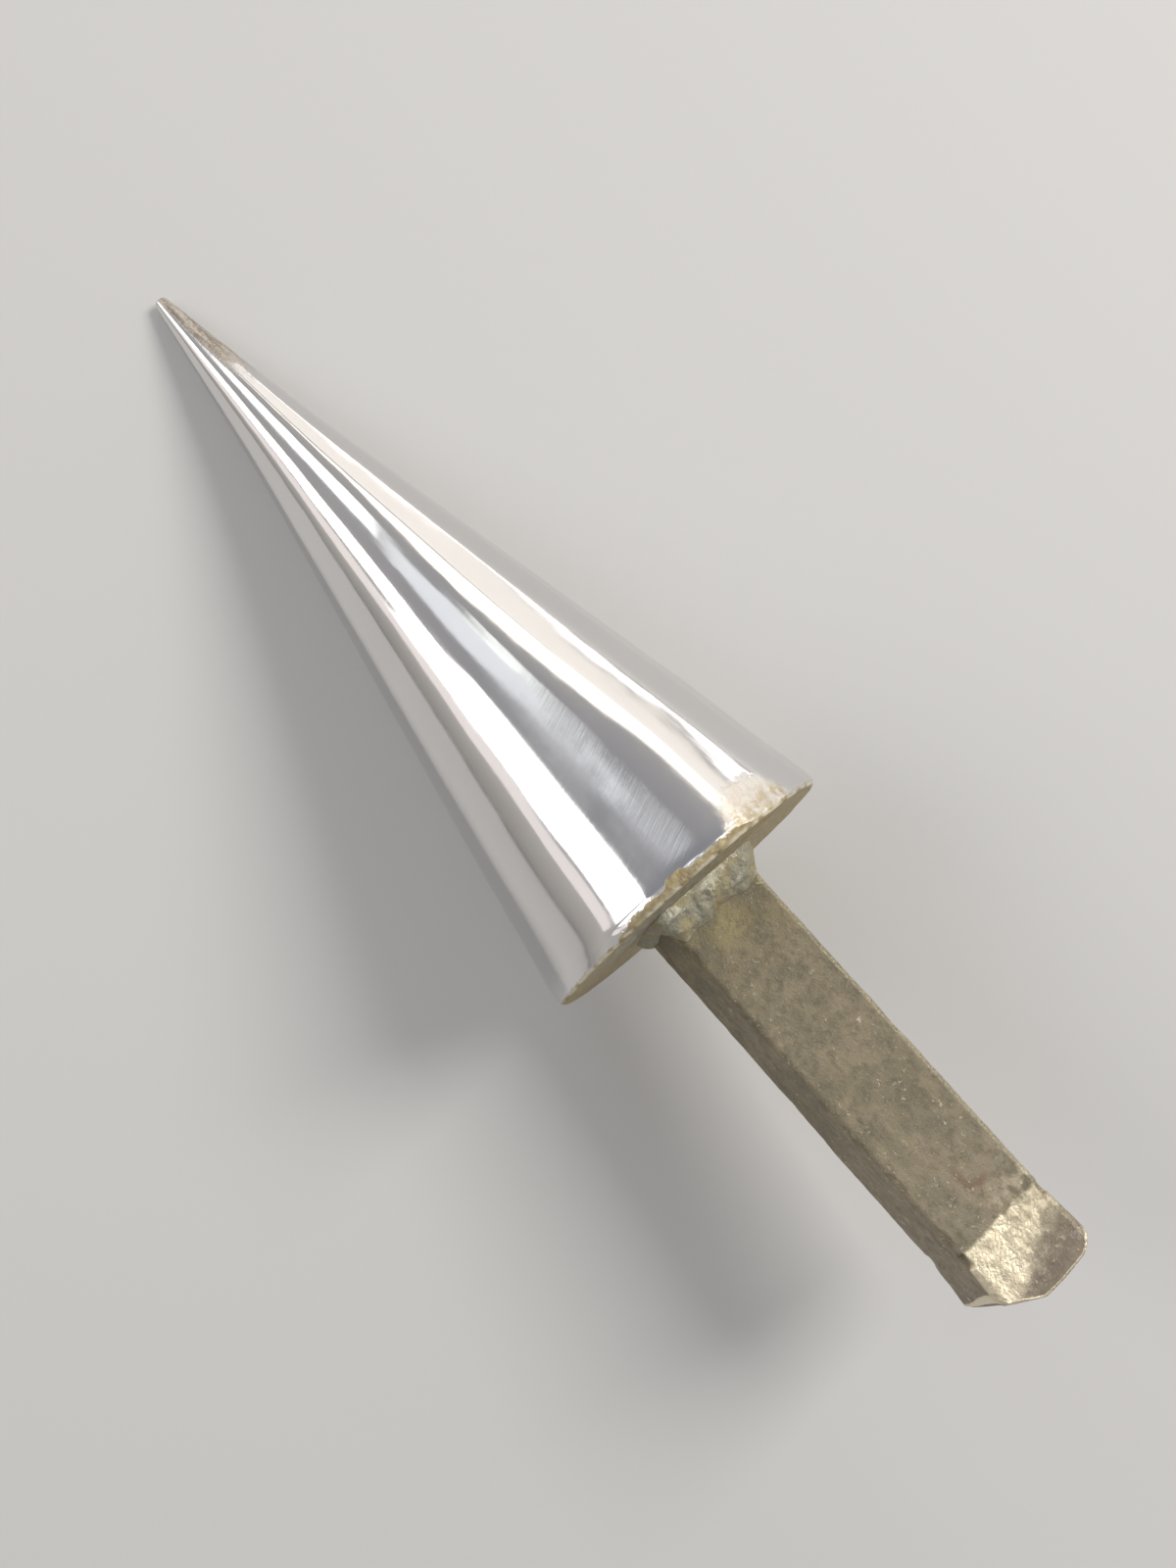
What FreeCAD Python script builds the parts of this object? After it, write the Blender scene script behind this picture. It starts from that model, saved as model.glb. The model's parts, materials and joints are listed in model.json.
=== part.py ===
import FreeCAD, Part
import Sketcher
import math
import os

# A cone mandrel for an anvil. Rings and sockets are trued over the polished cone, and the
# square shank under it drops into the anvil's square hole until the plate meets the anvil.
#
# Lengths are in millimetres and angles in degrees. The tool is drawn about its own axis, with
# the tip along +Z, the face that meets the anvil at z = 0 and the shank below it. It is then
# laid on its side as it rests on a bench: +X runs from the tip to the end of the shank, +Z is
# up, and the origin is under the middle of its box.

SIZES = {
    # Cone and base plate
    "base_radius": 39.5,
    "plate_thickness": 6.0,
    "plate_bevel": 0.9,
    # Raw lip that the grinder left on the plate's edge, on the side that faces up
    "lip_rise": 0.35,
    "lip_top": 2.3,
    "lip_slope": 0.6,
    "lip_span_angle": 56.0,
    "cone_length": 205.0,
    "waist_height": 155.0,
    "waist_radius": 9.8,
    "tip_radius": 1.85,
    "tip_bevel": 0.5,
    # Hammered flats: five broad and five narrow, each given by half of the angle that it spans
    "flat_pairs": 5,
    "broad_flat_angle": 12.5,
    "narrow_flat_angle": 9.5,
    "flat_run_out": 2.0,
    # Weld between the cone and the plate
    "seam_leg": 2.5,
    # Shank
    "shank_width": 25.0,
    "shank_length": 114.0,
    "shank_roll": 12.0,
    "shank_corner": 1.6,
    "end_length": 16.0,
    "end_flare_angle": 4.0,
    "end_round": 5.0,
    "end_bevel": 7.0,
    "end_crown": 0.9,
    "end_wear": 0.8,
    "nick_depth": 0.7,
    # Weld between the shank and the plate
    "bead_leg": 5.0,
    "bead_bite": 1.0,
    "bead_slope_angle": 40.0,
    "ripple_radius": 1.2,
    "ripple_rise": 0.55,
    "ripple_inset": 0.8,
    "ripples_per_side": 9,
}


def make_sheet(doc):
    sheet = doc.addObject("Spreadsheet::Sheet", "Sizes")
    for row, (name, value) in enumerate(SIZES.items(), start=1):
        sheet.set(f"A{row}", name)
        sheet.set(f"B{row}", str(value))
        sheet.setAlias(f"B{row}", name)
    doc.recompute()
    return sheet


# Helpers for sketches and features


def origin_part(body, role):
    for feature in body.Origin.OriginFeatures:
        if feature.Role == role:
            return feature
    raise ValueError(f"{body.Label} has no {role}")


def sketch_on(body, role, name):
    sketch = body.newObject("Sketcher::SketchObject", name)
    sketch.AttachmentSupport = [(origin_part(body, role), "")]
    sketch.MapMode = "FlatFace"
    return sketch


def value_of(sketch, expression):
    found = sketch.evalExpression(expression)
    return float(getattr(found, "Value", found))


def bind(sketch, kind, places, expression):
    """Add a constraint whose size is an expression on the sheet."""
    value = value_of(sketch, expression)
    if kind in ("DistanceX", "DistanceY") and value < 0:
        places = places[2:] + places[:2]
        expression = f"-({expression})"
        value = -value
    index = sketch.addConstraint(Sketcher.Constraint(kind, *places, value))
    sketch.setExpression(f"Constraints[{index}]", expression)


def hold_point(sketch, geometry, end, across, up):
    """Hold one end of a line at two expressions, measured from the sketch's origin."""
    for kind, axis, expression in (("DistanceX", -2, across), ("DistanceY", -1, up)):
        if expression == "0":
            sketch.addConstraint(Sketcher.Constraint("PointOnObject", geometry, end, axis))
        else:
            bind(sketch, kind, (-1, 1, geometry, end), expression)


def polygon(sketch, corners):
    """Closed outline through corners, each a pair of expressions on the sheet."""
    first = sketch.GeometryCount
    points = [FreeCAD.Vector(value_of(sketch, x), value_of(sketch, y), 0) for x, y in corners]
    for start, end in zip(points, points[1:] + points[:1]):
        sketch.addGeometry(Part.LineSegment(start, end))
    for i in range(len(corners)):
        after = (i + 1) % len(corners)
        sketch.addConstraint(Sketcher.Constraint("Coincident", first + i, 2, first + after, 1))
    for i, (across, up) in enumerate(corners):
        hold_point(sketch, first + i, 1, across, up)


def round_corner(sketch, line, radius):
    """Round the corner where a line of an outline meets the line before it."""
    near = sketch.Geometry[line - 1]
    far = sketch.Geometry[line]
    middle = (near.StartPoint + near.EndPoint) / 2
    other_middle = (far.StartPoint + far.EndPoint) / 2
    size = value_of(sketch, radius)
    sketch.fillet(line - 1, line, middle, other_middle, size, True, True)
    arc = max(i for i, shape in enumerate(sketch.Geometry) if isinstance(shape, Part.ArcOfCircle))
    bind(sketch, "Radius", (arc,), radius)


def rounded_square(sketch, half, corner):
    """Square about the origin with round corners; half its width and the radius are expressions."""
    first = sketch.GeometryCount
    reach = value_of(sketch, half)
    radius = value_of(sketch, corner)
    straight = reach - radius
    for turn in range(4):
        spin = FreeCAD.Rotation(FreeCAD.Vector(0, 0, 1), 90 * turn)
        start = spin.multVec(FreeCAD.Vector(reach, -straight, 0))
        end = spin.multVec(FreeCAD.Vector(reach, straight, 0))
        centre = spin.multVec(FreeCAD.Vector(straight, straight, 0))
        sketch.addGeometry(Part.LineSegment(start, end))
        circle = Part.Circle(centre, FreeCAD.Vector(0, 0, 1), radius)
        begin = math.radians(90 * turn)
        sketch.addGeometry(Part.ArcOfCircle(circle, begin, begin + math.pi / 2))
    for turn in range(4):
        line = first + 2 * turn
        arc = line + 1
        after = first + (2 * turn + 2) % 8
        sketch.addConstraint(Sketcher.Constraint("Tangent", line, 2, arc, 1))
        sketch.addConstraint(Sketcher.Constraint("Tangent", arc, 2, after, 1))
        if turn > 0:
            sketch.addConstraint(Sketcher.Constraint("Equal", first + 1, arc))
    bind(sketch, "Radius", (first + 1,), corner)
    for turn, (upright, kind, sign) in enumerate(
        (("Vertical", "DistanceX", ""), ("Horizontal", "DistanceY", ""),
         ("Vertical", "DistanceX", "-"), ("Horizontal", "DistanceY", "-"))
    ):
        line = first + 2 * turn
        if turn == 0:
            sketch.addConstraint(Sketcher.Constraint(upright, line))
        bind(sketch, kind, (-1, 1, line, 1), f"{sign}({half})")


def new_body(doc, label):
    body = doc.addObject("PartDesign::Body", label)
    body.Label = label
    return body


def revolve(body, sketch, name):
    turned = body.newObject("PartDesign::Revolution", name)
    turned.Profile = sketch
    turned.ReferenceAxis = (sketch, ["V_Axis"])
    turned.Angle = 360
    body.Document.recompute()
    return turned


def pad(body, sketch, name, length, upward, taper=None):
    block = body.newObject("PartDesign::Pad", name)
    block.Profile = sketch
    block.Reversed = not upward
    block.setExpression("Length", length)
    if taper:
        block.setExpression("TaperAngle", taper)
    body.Document.recompute()
    return block


def cut_through(body, sketch, name):
    """Cut right through the body, to both sides of the sketch."""
    pocket = body.newObject("PartDesign::Pocket", name)
    pocket.Profile = sketch
    pocket.Type = "ThroughAll"
    pocket.SideType = "Symmetric"
    body.Document.recompute()
    return pocket


def turn_copies(body, original, name, copies):
    """Copies of a feature, evenly spaced about the tool's axis."""
    pattern = body.newObject("PartDesign::PolarPattern", name)
    pattern.Originals = [original]
    pattern.Axis = (origin_part(body, "Z_Axis"), [""])
    pattern.Angle = 360
    pattern.setExpression("Occurrences", copies)
    body.Tip = pattern
    body.Document.recompute()
    return pattern


def edges_where(shape, test):
    return [f"Edge{i}" for i, edge in enumerate(shape.Edges, start=1) if test(edge)]


# Values that several pieces share

SEAM_TOP_RADIUS = (
    "Sizes.base_radius - Sizes.seam_leg * (Sizes.base_radius - Sizes.waist_radius)"
    " / (Sizes.waist_height - Sizes.plate_thickness)"
)
SEAM_INNER_RADIUS = "Sizes.base_radius - Sizes.seam_leg"
SEAM_TOP = "Sizes.plate_thickness + Sizes.seam_leg"
SEAM_BOTTOM = "Sizes.plate_thickness - Sizes.seam_leg"
SHANK_HALF = "Sizes.shank_width / 2"
BEAD_HALF = "Sizes.shank_width / 2 + Sizes.bead_leg"
BEAD_CORNER = "Sizes.shank_corner + Sizes.bead_leg"


def hammered_flats(body):
    """Long flats down the cone, the seam and the plate's edge: broad ones start on the side that
    the tool lies on, narrow ones on the side that faces up."""
    profile = (
        ("Sizes.base_radius", "-Sizes.flat_run_out"),
        ("Sizes.base_radius", "Sizes.plate_thickness"),
        ("Sizes.waist_radius", "Sizes.waist_height"),
        ("Sizes.tip_radius", "Sizes.cone_length"),
        ("Sizes.tip_radius", "Sizes.cone_length + Sizes.flat_run_out"),
    )
    for kind, side in (("broad", "-"), ("narrow", "")):
        half_angle = f"Sizes.{kind}_flat_angle"
        corners = [(f"{side}{radius} * cos({half_angle})", height) for radius, height in profile]
        for height in (profile[-1][1], profile[0][1]):
            corners.append((f"{side}2 * Sizes.base_radius", height))
        sketch = sketch_on(body, "XZ_Plane", f"{body.Label}_{kind}_flat_outline")
        polygon(sketch, corners)
        flat = cut_through(body, sketch, f"{body.Label}_{kind}_flat")
        turn_copies(body, flat, f"{body.Label}_{kind}_flats", "Sizes.flat_pairs")


# The pieces


def make_cone(doc):
    """Solid cone: a long straight taper, a slimmer nose and a blunt tip."""
    body = new_body(doc, "cone")
    sketch = sketch_on(body, "XZ_Plane", "cone_outline")
    polygon(sketch, (
        ("0", "Sizes.plate_thickness"),
        (SEAM_INNER_RADIUS, "Sizes.plate_thickness"),
        (SEAM_TOP_RADIUS, SEAM_TOP),
        ("Sizes.waist_radius", "Sizes.waist_height"),
        ("Sizes.tip_radius", "Sizes.cone_length - Sizes.tip_bevel"),
        ("Sizes.tip_radius - Sizes.tip_bevel", "Sizes.cone_length"),
        ("0", "Sizes.cone_length"),
    ))
    revolve(body, sketch, "cone_turned")
    hammered_flats(body)
    return body


def make_base_plate(doc):
    """Round plate under the cone. The shank's weld bites into its underside, and the flat ring
    outside the weld is the face that meets the anvil."""
    body = new_body(doc, "base_plate")
    sketch = sketch_on(body, "XZ_Plane", "plate_outline")
    polygon(sketch, (
        ("0", "0"),
        ("Sizes.base_radius - Sizes.plate_bevel", "0"),
        ("Sizes.base_radius", "Sizes.plate_bevel"),
        ("Sizes.base_radius", SEAM_BOTTOM),
        (SEAM_INNER_RADIUS, "Sizes.plate_thickness"),
        ("0", "Sizes.plate_thickness"),
    ))
    revolve(body, sketch, "plate_turned")
    hammered_flats(body)
    add_raw_lip(body)
    ring = sketch_on(body, "XY_Plane", "weld_bite_outline")
    ring.setExpression("AttachmentOffset.Rotation.Angle", "Sizes.shank_roll")
    rounded_square(ring, BEAD_HALF, BEAD_CORNER)
    rounded_square(ring, SHANK_HALF, "Sizes.shank_corner")
    bite = body.newObject("PartDesign::Pocket", "weld_bite")
    bite.Profile = ring
    bite.Reversed = True
    bite.setExpression("Length", "Sizes.bead_bite")
    doc.recompute()
    return body


def add_raw_lip(body):
    """Short arc of unground lip along the lower edge."""
    sketch = sketch_on(body, "XZ_Plane", "lip_outline")
    polygon(sketch, (
        ("Sizes.base_radius - Sizes.seam_leg", "Sizes.plate_bevel"),
        ("Sizes.base_radius", "Sizes.plate_bevel"),
        ("Sizes.base_radius + Sizes.lip_rise", "Sizes.plate_bevel + Sizes.lip_rise"),
        ("Sizes.base_radius + Sizes.lip_rise", "Sizes.lip_top"),
        ("Sizes.base_radius - Sizes.seam_leg", "Sizes.lip_top + Sizes.lip_slope"),
    ))
    lip = revolve(body, sketch, "raw_lip")
    lip.Midplane = True
    lip.setExpression("Angle", "Sizes.lip_span_angle")
    body.Document.recompute()


def make_seam_weld(doc):
    """Weld that fills the groove between the cone and the plate, ground flush with both."""
    body = new_body(doc, "seam_weld")
    sketch = sketch_on(body, "XZ_Plane", "seam_outline")
    polygon(sketch, (
        (SEAM_INNER_RADIUS, "Sizes.plate_thickness"),
        ("Sizes.base_radius", SEAM_BOTTOM),
        ("Sizes.base_radius", "Sizes.plate_thickness"),
        (SEAM_TOP_RADIUS, SEAM_TOP),
    ))
    revolve(body, sketch, "seam_turned")
    hammered_flats(body)
    return body


def make_hardy_shank(doc):
    """Square bar with worn corners, a nick across it, and an end that hammering has spread."""
    body = new_body(doc, "hardy_shank")
    bar_section = sketch_on(body, "XY_Plane", "bar_section")
    rounded_square(bar_section, SHANK_HALF, "Sizes.shank_corner")
    pad(body, bar_section, "bar", "Sizes.shank_length - Sizes.end_length", upward=False)
    end_section = sketch_on(body, "XY_Plane", "end_section")
    end_section.setExpression(
        "AttachmentOffset.Base.z", "Sizes.end_length - Sizes.shank_length"
    )
    rounded_square(end_section, SHANK_HALF, "Sizes.shank_corner")
    flare = "Sizes.end_flare_angle"
    pad(body, end_section, "flared_end", "Sizes.end_length", upward=False, taper=flare)
    wear_end(body, trim_end(body), doc.getObject("Sizes"))
    cut_nick(body)
    return body


def trim_end(body):
    """Bevel one corner of the end, round the other and leave the end face slightly crowned."""
    spread = "(Sizes.shank_width / 2 + Sizes.end_length * tan(Sizes.end_flare_angle))"
    below = "-Sizes.shank_length - Sizes.flat_run_out"
    sketch = sketch_on(body, "YZ_Plane", "end_trim_outline")
    polygon(sketch, (
        (f"-{spread}", "Sizes.end_bevel - Sizes.shank_length"),
        (f"Sizes.end_bevel - {spread}", "Sizes.end_crown - Sizes.shank_length"),
        ("0", "-Sizes.shank_length"),
        (spread, "Sizes.end_crown - Sizes.shank_length"),
        (spread, "2 * Sizes.end_round - Sizes.shank_length"),
        (f"{spread} + Sizes.flat_run_out", "2 * Sizes.end_round - Sizes.shank_length"),
        (f"{spread} + Sizes.flat_run_out", below),
        (f"-{spread} - Sizes.flat_run_out", below),
        (f"-{spread} - Sizes.flat_run_out", "Sizes.end_bevel - Sizes.shank_length"),
    ))
    round_corner(sketch, 3, "Sizes.end_round")
    return cut_through(body, sketch, "end_trim")


def wear_end(body, trimmed, sheet):
    """Worn bevel along the end's edges on the faces that turn up and down."""
    top = sheet.end_bevel - sheet.shank_length + sheet.end_wear

    def is_end_edge(edge):
        return edge.BoundBox.ZMax < top and abs(edge.BoundBox.Center.x) > sheet.shank_width / 3

    worn = body.newObject("PartDesign::Chamfer", "end_worn")
    worn.Base = (trimmed, edges_where(trimmed.Shape, is_end_edge))
    worn.setExpression("Size", "Sizes.end_wear")
    body.Document.recompute()


def cut_nick(body):
    """Shallow V cut across the face that turns up and across both sides."""
    height = "(Sizes.end_length - Sizes.shank_length)"
    inner = "(Sizes.shank_width / 2 - Sizes.nick_depth)"
    outer = "(Sizes.shank_width / 2 + Sizes.nick_depth)"
    for plane, sides in (("XZ_Plane", ("",)), ("YZ_Plane", ("", "-"))):
        sketch = sketch_on(body, plane, f"nick_outline_{plane[:2]}")
        for side in sides:
            polygon(sketch, (
                (f"{side}{inner}", height),
                (f"{side}{outer}", f"{height} - 2 * Sizes.nick_depth"),
                (f"{side}{outer}", f"{height} + 2 * Sizes.nick_depth"),
            ))
        cut_through(body, sketch, f"nick_{plane[:2]}")


def make_root_weld(doc):
    """Weld bead round the shank: it bites into the plate, slopes down to the shank and is
    rippled along each side."""
    body = new_body(doc, "root_weld")
    footprint = sketch_on(body, "XY_Plane", "bead_footprint")
    rounded_square(footprint, BEAD_HALF, BEAD_CORNER)
    pad(body, footprint, "bead_bite", "Sizes.bead_bite", upward=True)
    slope_section = sketch_on(body, "XY_Plane", "bead_slope_section")
    rounded_square(slope_section, BEAD_HALF, BEAD_CORNER)
    slope = "-Sizes.bead_slope_angle"
    pad(body, slope_section, "bead_slope", "Sizes.bead_leg", upward=False, taper=slope)
    add_ripples(body)
    shank_hole = sketch_on(body, "XY_Plane", "shank_hole_outline")
    rounded_square(shank_hole, SHANK_HALF, "Sizes.shank_corner")
    cut_through(body, shank_hole, "shank_hole")
    return body


def add_ripples(body):
    """Round ripples that run down the weld's slope, in a row along each of the four sides."""
    sunk = "(Sizes.ripple_radius - Sizes.ripple_rise)"
    slope = "Sizes.bead_slope_angle"
    start_across = f"({BEAD_HALF} - Sizes.ripple_inset * sin({slope}) - {sunk} * cos({slope}))"
    start_down = f"(Sizes.ripple_inset * cos({slope}) - {sunk} * sin({slope}))"
    row_half = f"({SHANK_HALF} - Sizes.shank_corner)"
    half_turn = FreeCAD.Rotation(FreeCAD.Vector(0, 1, 0), 180)
    ripple = body.newObject("PartDesign::AdditiveCylinder", "ripple")
    ripple.AttachmentSupport = [(origin_part(body, "XY_Plane"), "")]
    ripple.MapMode = "FlatFace"
    ripple.AttachmentOffset = FreeCAD.Placement(FreeCAD.Vector(), half_turn)
    ripple.setExpression("Radius", "Sizes.ripple_radius")
    ripple.setExpression("Height", f"Sizes.bead_leg / cos({slope}) - Sizes.ripple_inset")
    ripple.setExpression("AttachmentOffset.Rotation.Angle", f"180 + {slope}")
    ripple.setExpression("AttachmentOffset.Base.x", start_across)
    ripple.setExpression("AttachmentOffset.Base.y", f"-{row_half}")
    ripple.setExpression("AttachmentOffset.Base.z", f"-{start_down}")
    body.Document.recompute()
    row = body.Document.addObject("PartDesign::LinearPattern", "ripple_row")
    row.Direction = (origin_part(body, "Y_Axis"), [""])
    row.setExpression("Length", f"2 * {row_half}")
    row.setExpression("Occurrences", "Sizes.ripples_per_side")
    sides = body.Document.addObject("PartDesign::PolarPattern", "ripple_sides")
    sides.Axis = (origin_part(body, "Z_Axis"), [""])
    sides.Angle = 360
    sides.Occurrences = 4
    ripples = body.newObject("PartDesign::MultiTransform", "ripples")
    ripples.Originals = [ripple]
    ripples.Transformations = [row, sides]
    body.Tip = ripples
    body.Document.recompute()


# Laying the tool on its side


def lay_down(sheet, straight_bodies, rolled_bodies):
    """Turn every piece onto the broad flat under the cone, then bring the lowest point to z = 0
    and the middle of the box to the origin."""
    on_flat = math.cos(math.radians(sheet.broad_flat_angle))
    rise = (sheet.base_radius - sheet.tip_radius) * on_flat
    lie_angle = math.degrees(math.atan2(rise, sheet.cone_length - sheet.plate_thickness))
    lie = FreeCAD.Rotation(FreeCAD.Vector(0, 1, 0), -90 - lie_angle)
    roll = FreeCAD.Rotation(FreeCAD.Vector(0, 0, 1), sheet.shank_roll)
    for body in straight_bodies:
        body.Placement = FreeCAD.Placement(FreeCAD.Vector(), lie)
    for body in rolled_bodies:
        body.Placement = FreeCAD.Placement(FreeCAD.Vector(), lie.multiply(roll))
    bodies = straight_bodies + rolled_bodies
    box = FreeCAD.BoundBox()
    for body in bodies:
        box.add(body.Shape.optimalBoundingBox(False, False))
    shift = FreeCAD.Vector(-box.Center.x, -box.Center.y, -box.ZMin)
    for body in bodies:
        body.Placement = FreeCAD.Placement(shift, body.Placement.Rotation)


def check(doc, bodies):
    for thing in doc.Objects:
        if "Invalid" in thing.State or "Error" in thing.State:
            raise RuntimeError(f"{thing.Label} did not compute")
    for body in bodies:
        if body.Shape.isNull() or not body.Shape.isValid():
            raise RuntimeError(f"{body.Label} has no valid shape")
        if len(body.Shape.Solids) != 1:
            raise RuntimeError(f"{body.Label} is not one solid")


def main():
    doc = FreeCAD.newDocument("cone_mandrel")
    sheet = make_sheet(doc)
    straight_bodies = [make_cone(doc), make_base_plate(doc), make_seam_weld(doc)]
    rolled_bodies = [make_hardy_shank(doc), make_root_weld(doc)]
    doc.recompute()
    lay_down(sheet, straight_bodies, rolled_bodies)
    doc.recompute()
    bodies = straight_bodies + rolled_bodies
    check(doc, bodies)
    os.makedirs("parts", exist_ok=True)
    for body in bodies:
        body.Shape.exportStep(f"parts/{body.Label}.step")
        print(body.Label, "volume", round(body.Shape.Volume, 1), "box", body.Shape.BoundBox)


main()
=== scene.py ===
import json
import math
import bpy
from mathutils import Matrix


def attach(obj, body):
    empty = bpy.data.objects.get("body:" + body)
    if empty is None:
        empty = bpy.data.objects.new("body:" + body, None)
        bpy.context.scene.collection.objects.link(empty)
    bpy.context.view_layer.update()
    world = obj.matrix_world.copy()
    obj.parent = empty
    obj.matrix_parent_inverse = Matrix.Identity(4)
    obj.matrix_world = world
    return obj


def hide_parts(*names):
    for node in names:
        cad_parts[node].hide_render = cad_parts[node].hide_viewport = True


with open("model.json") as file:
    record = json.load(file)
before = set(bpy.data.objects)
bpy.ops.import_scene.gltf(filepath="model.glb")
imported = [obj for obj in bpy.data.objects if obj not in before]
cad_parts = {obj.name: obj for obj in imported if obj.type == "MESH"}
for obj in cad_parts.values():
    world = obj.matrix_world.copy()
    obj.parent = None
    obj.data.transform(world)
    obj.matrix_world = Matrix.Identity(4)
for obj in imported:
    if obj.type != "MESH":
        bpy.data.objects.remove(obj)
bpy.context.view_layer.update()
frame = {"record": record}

from types import SimpleNamespace

import bpy
import numpy as np
from bpy.props import FloatProperty, FloatVectorProperty, PointerProperty
from mathutils import Matrix, Vector

bl_info = {
    "name": "Hardy Cone Mandrel",
    "version": (1, 0, 0),
    "blender": (4, 5, 0),
    "location": "3D View > Sidebar > Mandrel",
    "description": "Dresses a blacksmith's cone mandrel: polished cone, welded plate, forged shank",
    "category": "Add Mesh",
}

# Lengths in the mesh code are in millimetres in the tool's own space: z runs from the face that
# meets the anvil, at 0, up to the tip, and x points up while the tool lies on its side.
MM = 0.001


def colour_property(name, description, default):
    return FloatVectorProperty(
        name=name, description=description, default=default, subtype="COLOR", min=0, max=1
    )


def length_property(name, description, millimetres):
    return FloatProperty(
        name=name, description=description, default=millimetres * MM, min=0, precision=5,
        subtype="DISTANCE", unit="LENGTH",
    )


class MandrelSizes(bpy.types.PropertyGroup):
    base_radius: length_property("Base radius", "Radius of the base plate", 39.5)
    plate_thickness: length_property("Plate thickness", "Height of the plate's straight edge", 6.0)
    seam_leg: length_property("Seam leg", "Reach of the seam weld into cone and plate", 2.5)
    waist_height: length_property("Waist height", "Height where the nose begins", 155.0)
    waist_radius: length_property("Waist radius", "Radius where the nose begins", 9.8)
    cone_length: length_property("Cone length", "Height of the tip", 205.0)
    tip_radius: length_property("Tip radius", "Radius of the blunt tip", 1.85)
    dent_depth: length_property("Hammer dents", "Depth of the hammer's undulations", 0.10)
    shank_width: length_property("Shank width", "Width of the square shank", 25.0)
    shank_length: length_property("Shank length", "Length of the shank", 114.0)
    shank_corner: length_property("Shank corner", "Radius of the shank's worn corners", 1.6)
    shank_roll: FloatProperty(
        name="Shank roll", description="Turn of the shank about the tool's axis",
        default=math.radians(12), subtype="ANGLE", unit="ROTATION",
    )
    end_length: length_property("Spread end", "Length of the spread end below the nick", 16.0)
    end_spread: length_property("End spread", "How far hammering spread the end, each side", 1.12)
    bead_leg: length_property("Root weld leg", "Leg of the weld round the shank", 5.0)


def plain_sizes(scene):
    """The sizes as plain numbers, lengths in millimetres and angles in degrees."""
    group = scene.mandrel_sizes
    scale = {"LENGTH": 1 / MM, "ROTATION": 180 / math.pi}
    unit = {name: group.bl_rna.properties[name].unit for name in MandrelSizes.__annotations__}
    return SimpleNamespace(**{
        name: round(getattr(group, name) * scale[unit[name]], 4) for name in unit
    })


class MandrelColours(bpy.types.PropertyGroup):
    steel: colour_property("Polished steel", "Mirror of the polished cone", (0.74, 0.73, 0.725))
    steel_cool: colour_property("Cool steel", "Bluish clouds in the polish", (0.66, 0.655, 0.67))
    tip_scale: colour_property("Tip scale", "Brown scale left on the tip", (0.27, 0.215, 0.16))
    tip_rubbed: colour_property("Rubbed tip", "Scale rubbed thin on the tip", (0.62, 0.55, 0.46))
    # The hazy patch's rough steel is real; this near-white cream colour is a painted highlight.
    haze: colour_property("Haze", "Hazy patch above the rim", (0.90, 0.87, 0.80))
    haze_pink: colour_property("Haze shade", "Pinkish shade in the haze", (0.86, 0.79, 0.72))
    haze_gold: colour_property("Haze edge", "Golden lumps by the rim", (0.70, 0.60, 0.42))
    oxide: colour_property("Brown oxide", "Golden brown of the raw plate", (0.33, 0.26, 0.15))
    oxide_pale: colour_property("Pale oxide", "Paler lumps of the oxide", (0.50, 0.42, 0.24))
    oxide_grain: colour_property("Oxide grain", "Fine light grains", (0.62, 0.57, 0.44))
    # Painted highlight: the colour of the bright spots along the lip's crest.
    lip_rubbed: colour_property("Rubbed lip", "Bright spots on the lip", (0.88, 0.82, 0.64))
    plate_grey: colour_property("Plate grey", "Grey of the underside", (0.28, 0.265, 0.21))
    plate_smear: colour_property("Plate smears", "Pale smears below", (0.41, 0.39, 0.31))
    scale: colour_property("Forge scale", "Olive grey scale of the shank", (0.216, 0.190, 0.124))
    scale_warm: colour_property("Warm scale", "Warmer fields of scale", (0.305, 0.255, 0.168))
    scale_stain: colour_property("Scale stains", "Darker stains", (0.145, 0.125, 0.088))
    scale_light: colour_property("Light scale", "Lighter towards the end", (0.38, 0.325, 0.245))
    scale_dark: colour_property("Scale cracks", "Dark cracks in the scale", (0.07, 0.065, 0.052))
    scale_grain: colour_property("Scale grain", "Fine light grain", (0.39, 0.34, 0.26))
    scale_fleck: colour_property("Flecks", "Cream flecks on the scale", (0.64, 0.56, 0.42))
    # Worn steel colour, also used for the partly painted highlight along the shank's corners and
    # end rim.
    scale_worn: colour_property("Worn scale", "Scale worn to steel", (0.84, 0.74, 0.54))
    end_brown: colour_property("End brown", "Reddish brown of the end", (0.215, 0.17, 0.135))
    end_light: colour_property("End spots", "Light spots on the end", (0.50, 0.43, 0.37))
    rust: colour_property("Rust", "Rust smear on the shank", (0.20, 0.115, 0.07))
    straw: colour_property("Straw", "Straw heat tint on the weld", (0.42, 0.33, 0.15))
    straw_dull: colour_property("Dull straw", "Fading heat tint", (0.33, 0.27, 0.135))
    straw_pale: colour_property("Pale straw", "Heat tint by the weld", (0.46, 0.38, 0.19))
    bead: colour_property("Weld bead", "Grey of the weld bead", (0.40, 0.38, 0.285))
    bead_dark: colour_property("Weld hollows", "Dark of the bead", (0.27, 0.255, 0.195))
    # Painted highlight: the colour of the bright crests and dots on the weld's upward side.
    bead_crest: colour_property("Weld crests", "Bright crests and dots", (0.64, 0.62, 0.49))


class MandrelStage(bpy.types.PropertyGroup):
    floor: colour_property("Floor", "Plain pale floor", (0.66, 0.65, 0.63))
    focal_pixels: FloatProperty(
        name="Focal length", description="Camera's focal length in pixels of a 1600 pixel side",
        default=1450, min=1,
    )
    key_radiance: FloatProperty(
        name="Key light", description="Brightness of the key light", default=14, min=0
    )
    strip_radiance: FloatProperty(
        name="Windows", description="Brightness of the window lights", default=2.3, min=0
    )


# Shader sockets that arithmetic can be written with


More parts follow.
